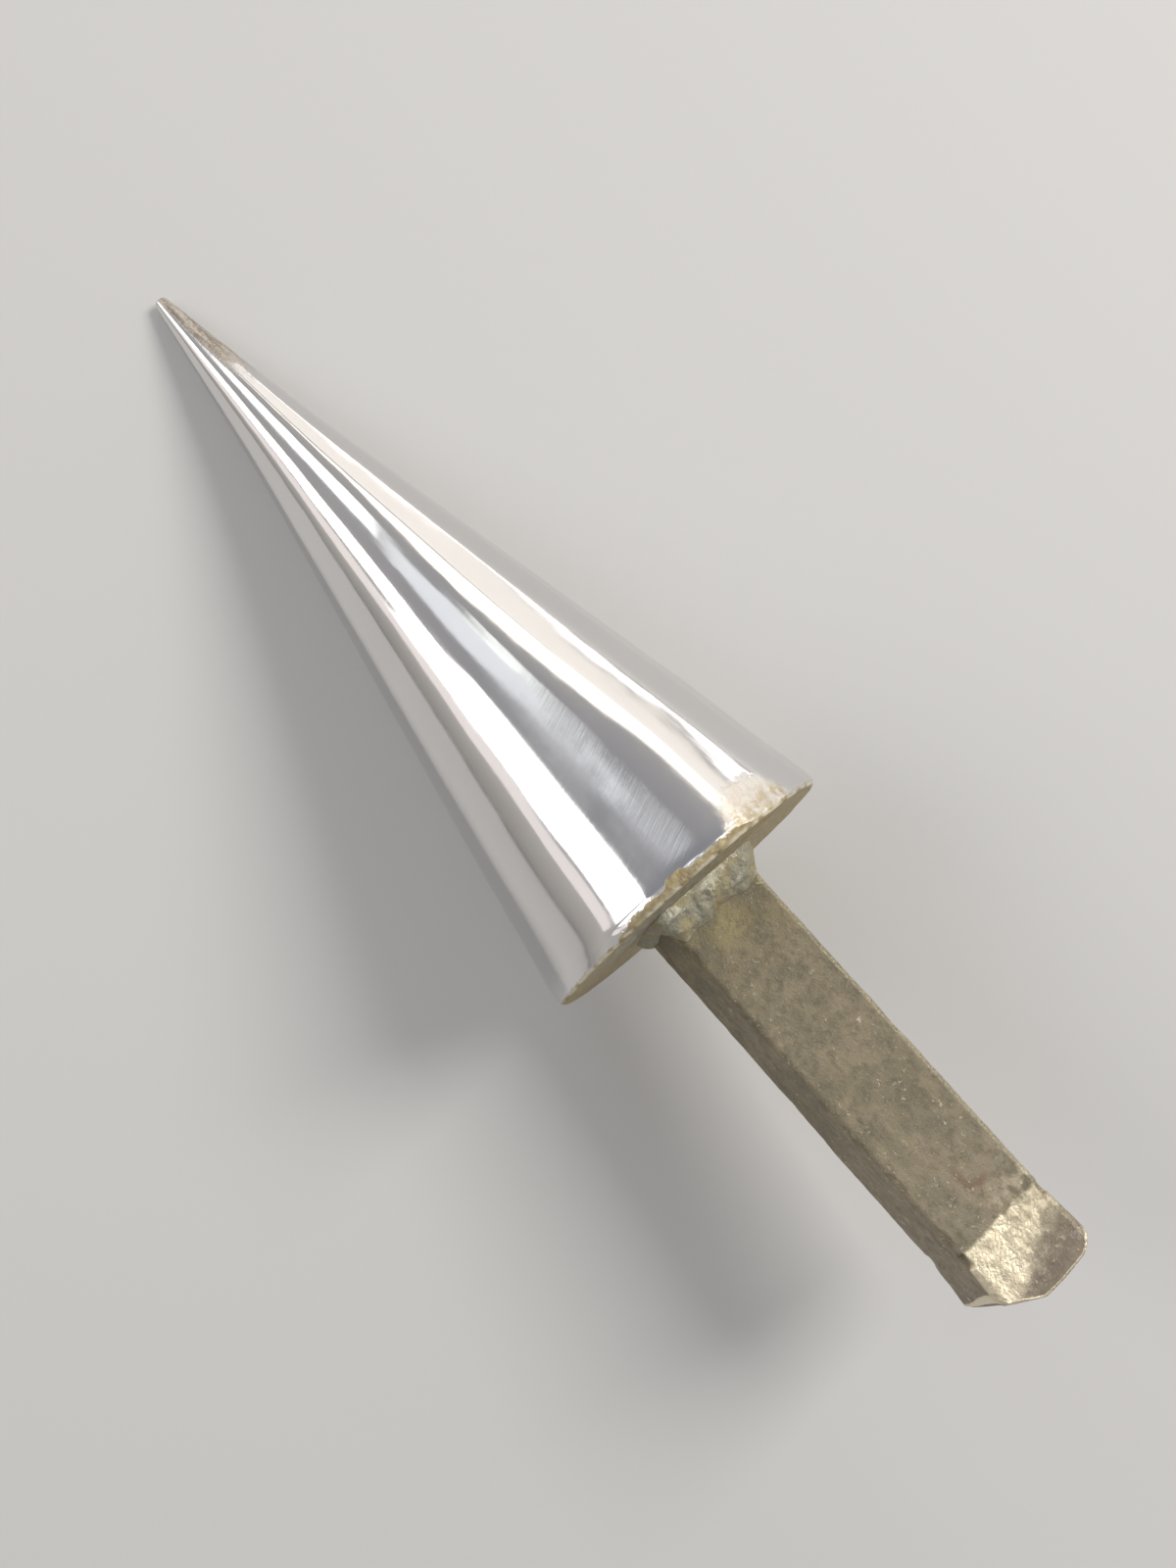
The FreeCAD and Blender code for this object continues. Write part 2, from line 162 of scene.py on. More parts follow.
class Wire:
    """A socket of a shader tree. Arithmetic on it adds Math nodes."""

    def __init__(self, tree, socket):
        self.tree = tree
        self.socket = socket

    def math(self, operation, *values):
        return self.tree.add("Math", {"operation": operation}, dict(enumerate(values)))

    def __add__(self, other):
        return self.math("ADD", self, other)

    __radd__ = __add__

    def __sub__(self, other):
        return self.math("SUBTRACT", self, other)

    def __rsub__(self, other):
        return self.math("SUBTRACT", other, self)

    def __mul__(self, other):
        return self.math("MULTIPLY", self, other)

    __rmul__ = __mul__

    def __truediv__(self, other):
        return self.math("DIVIDE", self, other)

    def __pow__(self, other):
        return self.math("POWER", self, other)

    def __abs__(self):
        return self.math("ABSOLUTE", self)

    def clamped(self):
        return self.tree.add("Clamp", {}, {0: self})

    def rise(self, low, high):
        """0 below low, 1 above high and smooth between them; falls where low is above high."""
        settings = {"interpolation_type": "SMOOTHSTEP"}
        if low > high:
            return 1.0 - self.rise(high, low)
        return self.tree.add("MapRange", settings, {0: self, 1: low, 2: high, 3: 0.0, 4: 1.0})

    def near(self, centre, reach):
        """1 at centre, falling smoothly to 0 at reach from it."""
        return (1.0 - abs(self - centre) / reach).rise(0.0, 1.0)


class Tree:
    """A shader node tree. Every node comes from add()."""

    def __init__(self, node_tree):
        self.nodes = node_tree.nodes
        self.links = node_tree.links
        self.nodes.clear()

    def add(self, kind, settings, inputs, output=0):
        node = self.nodes.new("ShaderNode" + kind)
        for name, value in settings.items():
            if name == "stops":
                self.set_stops(node.color_ramp, value)
            else:
                setattr(node, name, value)
        for place, value in inputs.items():
            if isinstance(value, Wire):
                self.links.new(value.socket, node.inputs[place])
            else:
                node.inputs[place].default_value = value
        return Wire(self, node.outputs[output]) if node.outputs else node

    @staticmethod
    def set_stops(ramp, stops):
        while len(ramp.elements) < len(stops):
            ramp.elements.new(1.0)
        for element, (place, colour) in zip(ramp.elements, stops):
            element.position = place
            element.color = (*colour, 1.0)

    def mix(self, factor, first, second, blend="MIX"):
        """Blend of two colours, each a wire or three numbers. The Mix node's inputs 6 and 7 and
        its output 2 are the ones for colours."""
        first, second = (c if isinstance(c, Wire) else (*c, 1.0) for c in (first, second))
        settings = {"data_type": "RGBA", "blend_type": blend}
        return self.add("Mix", settings, {0: factor, 6: first, 7: second}, output=2)

    def noise(self, where, scale, detail=3.0, roughness=0.55, distortion=0.0):
        inputs = {
            "Vector": where, "Scale": scale, "Detail": detail,
            "Roughness": roughness, "Distortion": distortion,
        }
        return self.add("TexNoise", {}, inputs)

    def stretched(self, where, scales):
        """The vector with each of its parts scaled."""
        return self.add("VectorMath", {"operation": "MULTIPLY"}, {0: where, 1: scales})

    def parts(self, vector):
        """The three parts of a vector."""
        first = self.add("SeparateXYZ", {}, {0: vector})
        return [Wire(self, socket) for socket in first.socket.node.outputs]

    def bump(self, height):
        """Normal for a height in millimetres."""
        return self.add("Bump", {}, {"Height": height, "Distance": MM})


class ToolSpace:
    """Where a point of the surface lies on the tool, read from the mesh: x, y and z in
    millimetres, and how far round the axis it is, in degrees from the side that faces up."""

    def __init__(self, tree):
        self.vector = tree.add("Attribute", {"attribute_name": "tool_mm"}, {}, output="Vector")
        self.x, self.y, self.z = tree.parts(self.vector)
        self.turn = self.y.math("ARCTAN2", self.y, self.x) * (180 / math.pi)
        # How much lighter the mesh marks a point: rubbed steel, and painted highlights on the lip's
        # crest, the weld's upward crests and the shank's corners.
        self.wear = tree.add("Attribute", {"attribute_name": "wear"}, {}, output="Fac")


def steel_material(name, paint):
    """Material whose colour, metallic, roughness and normal paint(tree, place) returns."""
    material = bpy.data.materials.new(name)
    material.use_nodes = True
    tree = Tree(material.node_tree)
    finish = paint(tree, ToolSpace(tree))
    shader = tree.add("BsdfPrincipled", {}, finish, output="BSDF")
    tree.add("OutputMaterial", {}, {"Surface": shader})
    return material


# Mesh helpers, all in the tool's own space in millimetres


HASH_PRIMES = np.array([73856093, 19349663, 83492791])
HASH_SEED = 2654435761
HASH_MIX = 1274126177


def lattice_noise(points, reach, seed):
    """Smooth noise from -1 to 1 at points, whose lumps are about reach wide. The same seed
    always gives the same noise."""
    scaled = points / reach
    cell = np.floor(scaled).astype(np.int64)
    part = scaled - cell
    weight = part * part * (3 - 2 * part)
    total = np.zeros(points.shape[:-1])
    for corner in range(8):
        offset = np.array([corner & 1, corner >> 1 & 1, corner >> 2 & 1])
        mixed = np.bitwise_xor.reduce((cell + offset) * HASH_PRIMES, axis=-1) ^ (seed * HASH_SEED)
        mixed = (mixed ^ (mixed >> 13)) * HASH_MIX & 0x7FFFFFFF
        value = (mixed ^ (mixed >> 16)) % 65536 / 32767.5 - 1
        share = np.where(offset == 1, weight, 1 - weight).prod(axis=-1)
        total += value * share
    return total


def layered_noise(points, reach, seed, layers=3):
    """Noise with finer, fainter layers on top of the first."""
    total = sum(lattice_noise(points, reach / 2**i, seed + i) / 2**i for i in range(layers))
    return total / sum(1 / 2**i for i in range(layers))


def smooth_step(value, low, high):
    part = np.clip((value - low) / (high - low), 0, 1)
    return part * part * (3 - 2 * part)


def tool_matrix():
    """The tool's own space as the part lies in the frame, from the record's shank mount."""
    mount = next(m for m in frame["record"]["mounts"] if m["name"] == "hardy_shank")
    along = -Vector(mount["axis"]).normalized()
    side = Vector((0, 1, 0))
    matrix = Matrix((side.cross(along), side, along)).transposed().to_4x4()
    matrix.translation = Vector(mount["pos_m"])
    return matrix


def rows_mesh(name, rows, caps, wear=None, sharp_rings=()):
    """Closed mesh through rings of points: rows is (rings, points round, 3). caps says for the
    first and the last ring whether a middle point closes it. Shading breaks at the sharp rings."""
    rings, around = rows.shape[:2]
    points = rows.reshape(-1, 3)
    index = np.arange(rings * around).reshape(rings, around)
    ahead = np.roll(index, -1, axis=1)
    quads = np.stack([index[:-1], ahead[:-1], ahead[1:], index[1:]], axis=-1)
    faces = quads.reshape(-1, 4).tolist()
    for ring, capped in ((0, caps[0]), (rings - 1, caps[1])):
        if not capped:
            continue
        middle = len(points)
        points = np.vstack([points, rows[ring].mean(axis=0)])
        pairs = zip(index[ring].tolist(), ahead[ring].tolist())
        faces += [(middle, b, a) if ring == 0 else (middle, a, b) for a, b in pairs]
    mesh = bpy.data.meshes.new(name)
    mesh.from_pydata((points * MM).tolist(), [], faces)
    where = mesh.attributes.new("tool_mm", "FLOAT_VECTOR", "POINT")
    where.data.foreach_set("vector", points.astype(np.float32).ravel())
    # Rubbed steel and painted highlights, read by the materials to paint points lighter.
    rubbed = np.zeros(len(points), np.float32)
    if wear is not None:
        rubbed[:wear.size] = wear.ravel()
    mesh.attributes.new("wear", "FLOAT", "POINT").data.foreach_set("value", rubbed)
    mesh.transform(tool_matrix())
    mesh.validate()
    mesh.shade_smooth()
    ends = np.empty(len(mesh.edges) * 2, np.int32)
    mesh.edges.foreach_get("vertices", ends)
    ring_of = ends.reshape(-1, 2) // around
    sharp = (ring_of[:, 0] == ring_of[:, 1]) & np.isin(ring_of[:, 0], sharp_rings)
    mesh.edges.foreach_set("use_edge_sharp", sharp)
    return mesh


def place_piece(mesh, node, slot, paint):
    """The mesh as a piece that stands for a node of the frame, in its slot's material."""
    flip_if_inward(mesh)
    piece = bpy.data.objects.new(f"dressed_{node}", mesh)
    bpy.context.scene.collection.objects.link(piece)
    mesh.materials.append(steel_material(slot, paint))
    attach(piece, "root")
    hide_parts(node)
    return piece


def flip_if_inward(mesh):
    """Faces outward, whichever way the rings ran."""
    mesh.calc_loop_triangles()
    corners = np.empty(len(mesh.loop_triangles) * 3, np.int32)
    mesh.loop_triangles.foreach_get("vertices", corners)
    points = np.empty(len(mesh.vertices) * 3, np.float32)
    mesh.vertices.foreach_get("co", points)
    a, b, c = points.reshape(-1, 3)[corners.reshape(-1, 3)].transpose(1, 0, 2)
    if (a * np.cross(b, c)).sum() < 0:
        mesh.flip_normals()


# The ground surface that cone, seam and plate share.

# Its hammered flats, round from the side that faces up: middle in degrees at the plate, drift of
# the middle per millimetre of height, half angle in degrees, and how much of the curve is lost
FLATS = (
    (0, 0.0, 11.0, 0.55), (36.3, -0.042, 9.5, 0.85), (73, 0.0, 10.0, 0.8), (108, 0.0, 12.5, 0.7),
    (145, 0.01, 10.0, 0.8), (180, 0.0, 12.5, 0.9), (215, 0.0, 10.0, 0.8), (252, 0.01, 12.5, 0.7),
    (288, 0.0, 10.0, 0.7), (318, 0.0, 10.0, 0.2),
)


def ground_radius(sizes, turn, height):
    """Radius of the ground and hammered surface, for turn in degrees and height in mm."""
    slope = (sizes.base_radius - sizes.waist_radius) / (sizes.waist_height - sizes.plate_thickness)
    nose = (sizes.waist_radius - sizes.tip_radius) / (sizes.cone_length - sizes.waist_height)
    angle = np.radians(turn)

    def bend(value, reach):
        return reach * np.logaddexp(0, value / reach)

    round_plate = np.stack([4 * np.cos(angle), 4 * np.sin(angle), np.zeros_like(turn)], axis=-1)
    ground_away = 2.4 - 1.0 * lattice_noise(round_plate, 2.0, 3)
    radius = (
        sizes.base_radius
        - slope * bend(height - sizes.plate_thickness + ground_away, 0.9)
        + slope * ground_away * smooth_step(height, 12, 40)
        + (slope - nose) * bend(height - sizes.waist_height, 6.0)
    )
    to_tip = np.clip(height - (sizes.cone_length - 0.6), 0, None)
    radius = radius - 1.2 * to_tip**2
    along = np.stack([height / 42, np.zeros_like(height), np.zeros_like(height)], axis=-1)
    lost = np.zeros_like(turn)
    for number, (middle, drift, half, share) in enumerate(FLATS):
        shift = along + np.array([0, 7.3 * number, 0])
        middle = middle + drift * height + 0.55 * lattice_noise(shift, 1.0, 31)
        off = (turn - middle + 180) % 360 - 180
        wide = half * (1 + 0.08 * lattice_noise(shift, 0.8, 32))
        inside = np.cos(np.radians(np.clip(off, -40, 40)))
        depth = 1 - np.cos(np.radians(wide)) / inside
        lost = lost + share * 0.002 * np.logaddexp(0, depth / 0.002)
    spot = np.stack([radius * np.cos(angle), radius * np.sin(angle), height * 0.28], axis=-1)
    dents = layered_noise(spot, 13.0, 5, 2) + 0.2 * layered_noise(spot, 4.2, 8, 2)
    dents = sizes.dent_depth * dents * smooth_step(radius, 1, 14)
    nose_dents = 0.035 * layered_noise(spot * (1, 1, 2.5), 7.0, 61, 2)
    nose_dents = nose_dents * smooth_step(height, 95, 130) * smooth_step(radius, 1, 5)
    dents = dents + nose_dents
    return radius * (1 - lost) - sizes.dent_depth + dents


def turned_rows(sizes, profile, turns):
    """Rings for a profile of (radius or None for the ground surface, height) pairs."""
    lost_at_rim = sizes.base_radius - ground_radius(sizes, turns, np.zeros_like(turns))
    angle = np.radians(turns)
    rows = []
    for radius, height in profile:
        level = np.full_like(turns, height)
        if radius is None:
            here = ground_radius(sizes, turns, level)
        else:
            here = radius - lost_at_rim * radius / sizes.base_radius
        rows.append(np.stack([here * np.cos(angle), here * np.sin(angle), level], axis=-1))
    return np.array(rows)


def even_turns(count):
    return np.arange(count) * 360.0 / count


# Points round the cone and the seam, whose rings meet, and round the plate with its finer lip
CONE_COUNT = 288
PLATE_COUNT = 360


# Finishes


def rgb(value):
    return tuple(value)[:3]


def brushed_polish(tree, place, colours):
    """Colour, roughness and height in millimetres of the polished steel, with the marks of the
    grinding wheel on the side that faces up and an unpolished, hazy patch above the rim, whose
    near-white cream colour is a painted highlight."""
    streaks = tree.noise(tree.stretched(place.vector, (0.55, 0.55, 0.022)), 1.0, 4.0, 0.6)
    cloud = tree.noise(place.vector, 0.06, 3.0)
    lumps = tree.noise(place.vector, 0.45, 4.0, 0.6)
    soft = tree.noise(place.vector, 0.2, 2.0)
    slant = place.z * 1.25 - place.y * 0.55
    strokes = tree.add("CombineXYZ", {}, {0: place.y * 0.07, 1: slant, 2: place.x * 0.05})
    scratches = tree.noise(strokes, 1.0, 4.0, 0.75)
    ground = place.turn.near(0, 19).rise(0.0, 0.6) * place.z.near(31, 46).rise(0.0, 0.7)
    ground = ground * (0.45 + 0.55 * cloud.rise(0.3, 0.6))
    across = (place.turn - 33) / 16
    up = (place.z + 1.0) / 12
    off_patch = across * across + up * up + 0.8 * (soft - 0.5) + 0.4 * (lumps - 0.5)
    # The hazy patch is rougher, unpolished steel; its near-white cream colour is a painted
    # highlight.
    haze = off_patch.rise(1.2, 0.65)
    colour = tree.mix(cloud.rise(0.3, 0.75) * 0.25, rgb(colours.steel), rgb(colours.steel_cool))
    haze_and_highlight_tone = tree.mix(soft.rise(0.4, 0.6), rgb(colours.haze), rgb(colours.haze_pink))
    by_rim = place.z.rise(8, 3) * lumps.rise(0.4, 0.6)
    haze_and_highlight_tone = tree.mix(by_rim, haze_and_highlight_tone, rgb(colours.haze_gold))
    colour = tree.mix(haze, colour, haze_and_highlight_tone)
    roughness = 0.07 + 0.045 * streaks.rise(0.4, 0.75) + 0.27 * haze
    roughness = roughness + ground * (0.08 + 0.14 * scratches)
    height = (scratches - 0.5) * (0.001 + 0.045 * ground) + (streaks - 0.5) * 0.006
    return colour, roughness, height + (lumps - 0.5) * 0.22 * haze


def cone_finish(colours):
    def paint(tree, place):
        colour, roughness, height = brushed_polish(tree, place, colours)
        streaks = tree.noise(tree.stretched(place.vector, (0.8, 0.8, 0.07)), 1.0, 3.0)
        bumps = tree.noise(place.vector, 1.6, 4.0, 0.65)
        side = place.turn.near(42, 62).rise(0.0, 0.6)
        tip = (place.z + 34 * side + 22 * (streaks - 0.5) + 10 * (bumps - 0.5)).rise(201, 215)
        rubbed = (0.6 * bumps + 0.6 * streaks).rise(0.5, 0.7)
        tip_tone = tree.mix(rubbed, rgb(colours.tip_scale), rgb(colours.tip_rubbed))
        return {
            "Base Color": tree.mix(tip * 0.85, colour, tip_tone),
            "Metallic": 1.0 - tip * 0.2,
            "Roughness": (roughness + 0.33 * tip).clamped(),
            "Normal": tree.bump(height + (bumps - 0.5) * tip * 0.22),
        }
    return paint


def seam_finish(colours):
    def paint(tree, place):
        colour, roughness, height = brushed_polish(tree, place, colours)
        return {
            "Base Color": colour,
            "Metallic": 1.0,
            "Roughness": (roughness + 0.02).clamped(),
            "Normal": tree.bump(height),
        }
    return paint


def plate_finish(colours):
    def paint(tree, place):
        colour, roughness, height = brushed_polish(tree, place, colours)
        radius = (place.x * place.x + place.y * place.y) ** 0.5
        lumps = tree.noise(place.vector, 0.55, 4.0, 0.6)
        grain = tree.noise(place.vector, 3.0, 4.0, 0.7)
        chip = place.turn.near(-3, 6)
        facing_up = place.turn.near(0, 36).rise(0.0, 0.4)
        edge_line = 0.6 + 1.5 * facing_up + 2.2 * (lumps - 0.5) + 2.2 * chip
        raw = (place.z - edge_line).rise(0.35, -0.15)
        under = radius.rise(38.9, 37.6) * place.z.rise(0.5, 0.2)
        smears = tree.noise(tree.stretched(place.vector, (0.12, 0.5, 0.2)), 1.0, 3.0)
        oxide = tree.mix(lumps.rise(0.35, 0.7), rgb(colours.oxide), rgb(colours.oxide_pale))
        oxide = tree.mix(grain.rise(0.6, 0.8) * 0.5, oxide, rgb(colours.oxide_grain))
        grey = tree.mix(smears.rise(0.35, 0.65), rgb(colours.plate_grey), rgb(colours.plate_smear))
        beside_shank = under * (place.turn + 20).near(0, 75) * radius.rise(39, 30)
        raw_colour = tree.mix(beside_shank, oxide, grey)
        # Painted highlight on the lip's crest.
        raw_colour = tree.mix(place.wear * 0.9, raw_colour, rgb(colours.lip_rubbed))
        raw_rough = 0.40 + 0.12 * grain - 0.2 * place.wear
        rough_height = (lumps - 0.5) * 0.5 + (grain - 0.5) * 0.12
        return {
            "Base Color": tree.mix(raw, colour, raw_colour),
            "Metallic": 1.0 - 0.35 * raw,
            "Roughness": (roughness + raw * raw_rough).clamped(),
            "Normal": tree.bump(height * (1.0 - raw) + rough_height * raw),
        }
    return paint


def bead_finish(colours):
    def paint(tree, place):
        grain = tree.noise(place.vector, 1.2, 5.0, 0.65)
        fine = tree.noise(place.vector, 3.2, 3.0, 0.6)
        cloud = tree.noise(place.vector, 0.16, 2.0)
        colour = tree.mix(grain.rise(0.3, 0.7), rgb(colours.bead_dark), rgb(colours.bead))
        colour = tree.mix(cloud.rise(0.42, 0.62) * 0.45, colour, rgb(colours.straw))
        dots = tree.noise(place.vector, 1.5, 1.0).rise(0.66, 0.72)
        # Painted highlight: crests and dots on the side of the weld that faces up are painted
        # bright.
        crests = (place.wear * (0.25 + 1.1 * fine)).rise(0.3, 1.0)
        bright = (crests + dots * place.wear.rise(0.1, 0.5)).clamped()
        return {
            "Base Color": tree.mix(bright * 0.85, colour, rgb(colours.bead_crest)),
            "Metallic": 0.5,
            "Roughness": (0.56 - 0.22 * bright + 0.2 * (grain - 0.5)).clamped(),
            "Normal": tree.bump((grain - 0.5) * 0.3 + (fine - 0.5) * 0.12),
        }
    return paint


def shank_finish(colours, roll):
    def paint(tree, place):
        lean, level = math.sin(math.radians(roll)), math.cos(math.radians(roll))
        up = place.x * level + place.y * lean
        side = place.y * level - place.x * lean
        on_top = up.rise(11.0, 12.2)
        broad = tree.noise(place.vector, 0.12, 5.0, 0.6)
        mottle = tree.noise(place.vector, 0.42, 5.0, 0.65)
        grain = tree.noise(place.vector, 1.9, 5.0, 0.7)
        cracks = tree.noise(place.vector, 1.1, 4.0, 0.8, 1.5).rise(0.36, 0.27)
        cracks = cracks * tree.noise(place.vector, 0.3, 2.0).rise(0.45, 0.6)
        flecks = tree.noise(place.vector, 0.95, 3.0, 0.6, 0.6).rise(0.605, 0.67)
        fields = tree.noise(place.vector, 0.17, 3.0) + 0.08 * place.z.rise(-50, -85)
        flecks = flecks * fields.rise(0.46, 0.60)
        ragged = 5 * (mottle - 0.5) + 2 * (grain - 0.5)
        below_nick = (place.z + 0.3 * ragged).rise(-95.6, -97.0)
        worn = below_nick * (place.z - 0.46 * side + ragged).rise(-112, -104)
        lighter = place.z.rise(-84, -95) * place.z.rise(-97, -96) * side.rise(-5, 3)
        blotch = tree.noise(place.vector, 0.36, 3.0, 0.55).rise(0.36, 0.6)
        worn = worn * (0.42 + 0.33 * blotch + 0.25 * side.rise(7, -5))
        worn = worn + lighter * 0.42 * blotch
        worn = (worn * on_top).rise(0.05, 1.05)
        # Rubbed corners and end rim: partly rubbed steel, partly a painted highlight.
        rubbed = (place.wear * (0.55 + grain * 0.9)).rise(0.45, 0.9)
        spot_z = place.z + 84.8 + 5 * (mottle - 0.5)
        spot_y = side - 3.1 + 6 * (broad - 0.5)
        ring_off = (spot_z * spot_z + spot_y * spot_y) ** 0.5
        open_side = (0.0 - spot_z - spot_y).rise(-1.5, 3)
        rust = ring_off.near(3.3, 2.2) * open_side * on_top * mottle.rise(0.25, 0.5)
        stain = place.z.rise(-30, -8) * broad.rise(0.38, 0.62)
        straw = place.z.near(-11.5, 6) * side.near(-1, 9) * mottle.rise(0.3, 0.55) * on_top
        colour = tree.mix(broad.rise(0.38, 0.62), rgb(colours.scale), rgb(colours.scale_warm))
        colour = tree.mix(mottle.rise(0.46, 0.66) * 0.55, colour, rgb(colours.scale_stain))
        towards_end = place.z.rise(-60, -93) * blotch
        colour = tree.mix(towards_end * 0.4, colour, rgb(colours.scale_light))
        at_end = place.z.rise(-103, -108) * (0.85 - 0.5 * blotch)
        colour = tree.mix(at_end, colour, rgb(colours.end_brown))
        end_spots = place.z.rise(-104, -108) * mottle.rise(0.52, 0.64)
        colour = tree.mix(end_spots * 0.5, colour, rgb(colours.end_light))
        colour = tree.mix(grain.rise(0.5, 0.75) * 0.6, colour, rgb(colours.scale_grain))
        colour = tree.mix(stain * 0.45, colour, rgb(colours.straw_dull))
        colour = tree.mix(straw * 0.8, colour, rgb(colours.straw_pale))
        colour = tree.mix(rust * 0.6, colour, rgb(colours.rust))
        colour = tree.mix(cracks * 0.7, colour, rgb(colours.scale_dark))
        colour = tree.mix(flecks * 0.8, colour, rgb(colours.scale_fleck))
        # Worn steel, with the partly painted highlight of the corners and end rim mixed in.
        bright = (worn + rubbed).clamped()
        colour = tree.mix(bright * (0.65 + 0.45 * grain).clamped(), colour, rgb(colours.scale_worn))
        height = (mottle - 0.5) * 0.62 + (grain - 0.5) * (0.3 - 0.2 * bright)
        height = height - cracks * 0.2 + flecks * 0.12
        return {
            "Base Color": colour,
            "Metallic": (0.4 + 0.5 * bright).clamped(),
            "Roughness": (0.56 - 0.2 * bright + 0.2 * (mottle - 0.5)).clamped(),
            "Normal": tree.bump(height),
        }
    return paint


# Pieces


class MANDREL_OT_cone(bpy.types.Operator):
    """Polished cone with its long hammered flats and blunt tip"""
    bl_idname = "mandrel.cone"
    bl_label = "Polished Cone"

    def execute(self, context):
        sizes = plain_sizes(context.scene)
        turns = even_turns(CONE_COUNT)
        inner = sizes.base_radius - sizes.seam_leg
        seam_top = sizes.plate_thickness + sizes.seam_leg
        tip_start = sizes.cone_length - 3
        heights = np.concatenate([
            np.linspace(seam_top, 40, 60), np.linspace(40, tip_start, 200)[1:],
            sizes.cone_length - 3 * (1 - np.linspace(0, 1, 14)[1:]) ** 1.6,
        ])
        profile = [(inner * 0.5, sizes.plate_thickness), (inner, sizes.plate_thickness)]
        profile += [(None, height) for height in heights]
        rows = turned_rows(sizes, profile, turns)
        mesh = rows_mesh("dressed_cone", rows, (True, True), sharp_rings=(1, 2))
        place_piece(mesh, "cone", "polished_steel", cone_finish(context.scene.mandrel_colours))
        return {"FINISHED"}


class MANDREL_OT_seam(bpy.types.Operator):
    """Weld between cone and plate, ground flush and polished"""
    bl_idname = "mandrel.seam"
    bl_label = "Seam Weld"

    def execute(self, context):
        sizes = plain_sizes(context.scene)
        inner = sizes.base_radius - sizes.seam_leg
        bottom = sizes.plate_thickness - sizes.seam_leg
        top = sizes.plate_thickness + sizes.seam_leg
        steps = 13
        profile = [(inner, sizes.plate_thickness)]
        profile += [(None, height) for height in np.linspace(bottom, top, steps)]
        profile += [(inner, sizes.plate_thickness)]
        rows = turned_rows(sizes, profile, even_turns(CONE_COUNT))
        edges = (0, 1, steps, steps + 1)
        mesh = rows_mesh("dressed_seam_weld", rows, (False, False), sharp_rings=edges)
        place_piece(mesh, "seam_weld", "polished_weld", seam_finish(context.scene.mandrel_colours))
        return {"FINISHED"}


class MANDREL_OT_plate(bpy.types.Operator):
    """Base plate with its raw lip and browned underside"""
    bl_idname = "mandrel.plate"
    bl_label = "Base Plate"

    def execute(self, context):
        sizes = plain_sizes(context.scene)
        turns = even_turns(PLATE_COUNT)
        inner = sizes.base_radius - sizes.seam_leg
        bottom = sizes.plate_thickness - sizes.seam_leg
        lip = 0.9
        top = [(inner * 0.5, sizes.plate_thickness), (inner, sizes.plate_thickness)]
        edge = [(None, height) for height in np.linspace(bottom, lip, 12)]
        edge += [(sizes.base_radius - lip + lift, lift) for lift in (0.55, 0.25, 0.0)]
        under = [(radius, 0.0) for radius in np.linspace(sizes.base_radius - 1.6, 12, 40)]
        rows = turned_rows(sizes, top + edge + under, turns)
        first_under = len(top + edge)
        self.raise_lip(rows[len(top):first_under], turns)
        self.roughen_underside(rows[first_under - 1:])
        # Painted highlight: bright spots along the lip's crest.
        wear = self.lip_wear(rows, first_under)
        mesh = rows_mesh("dressed_base_plate", rows, (True, True), wear, sharp_rings=(1, 2))
        paint = plate_finish(context.scene.mandrel_colours)
        place_piece(mesh, "base_plate", "browned_steel", paint)
        return {"FINISHED"}

    @staticmethod
    def raise_lip(rows, turns):
        """Lumpy lip that the grinder left on the side that faces up."""
        angle = np.radians(turns)
        off = np.abs((turns + 180) % 360 - 180)
        reach = smooth_step(off, 33, 20) * 0.34 + 0.05
        for row in rows:
            lumps = layered_noise(row, 2.6, 71, 3)
            share = smooth_step(row[:, 2], 3.1, 1.7)
            out = share * reach * (1.0 + 0.9 * lumps)
            row[:, 0] += out * np.cos(angle)
            row[:, 1] += out * np.sin(angle)

    @staticmethod
    def lip_wear(rows, first_under):
        """Painted highlight: bright spots along the lip's crest, none from the underside's first
        ring on.
        """
        crest = smooth_step(np.abs(rows[..., 2] - 0.4), 0.65, 0.15)
        crest[first_under:] = 0
        return crest * smooth_step(layered_noise(rows, 1.7, 77, 2), -0.35, 0.2)

    @staticmethod
    def roughen_underside(rows):
        """Shallow unevenness, inward only, so that the plate doesn't stand past its seat."""
        rows[..., 2] += 0.10 + 0.10 * layered_noise(rows, 5.0, 91, 3)


